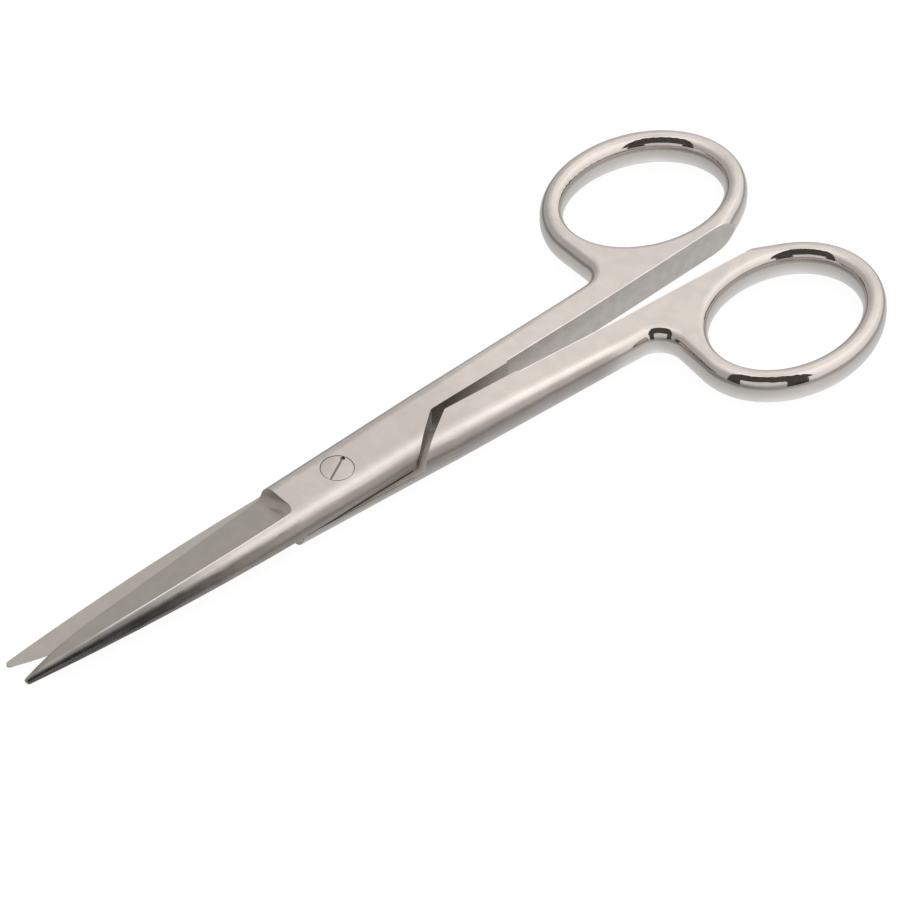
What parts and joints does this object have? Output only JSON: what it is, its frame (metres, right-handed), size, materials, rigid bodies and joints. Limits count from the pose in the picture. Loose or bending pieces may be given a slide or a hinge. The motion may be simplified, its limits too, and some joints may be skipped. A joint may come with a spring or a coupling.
{
  "type": "dressing scissors",
  "caption": "Slender blunt-nosed scissors with a flush slotted screw joint, bevelled tapering blades, long ground-backed shanks and oval finger rings.",
  "frame": {"origin": "on the pivot axis, at the height of the flat underside of the joint that the scissors rest on", "axes": "+X from the pivot towards the finger rings along the middle of the opening, blade tips towards -X; +Z along the pivot axis, out of the side that shows the screw's slot; the half that carries the screw's head has its ring on +Y"},
  "size_m": [0.1394, 0.0564, 0.0066],
  "materials": {
    "upper_steel": "satin stainless steel, mirror polished at the finger ring, fine ground bevel and inner flat",
    "lower_steel": "satin stainless steel, mirror polished at the finger ring, fine ground bevel and inner flat",
    "screw_steel": "satin stainless steel, finished flush with the joint's face"
  },
  "bodies": {
    "lower": {"lower_half": "lower_steel", "joint_screw": "screw_steel"},
    "upper": {"upper_half": "upper_steel"}
  },
  "joints": [
    {"name": "pivot", "type": "hinge", "parent": "lower", "child": "upper", "pos_m": [0, 0, 0.0033], "axis": [0, 0, 1], "range_deg": [-3.75, 110]}
  ]
}
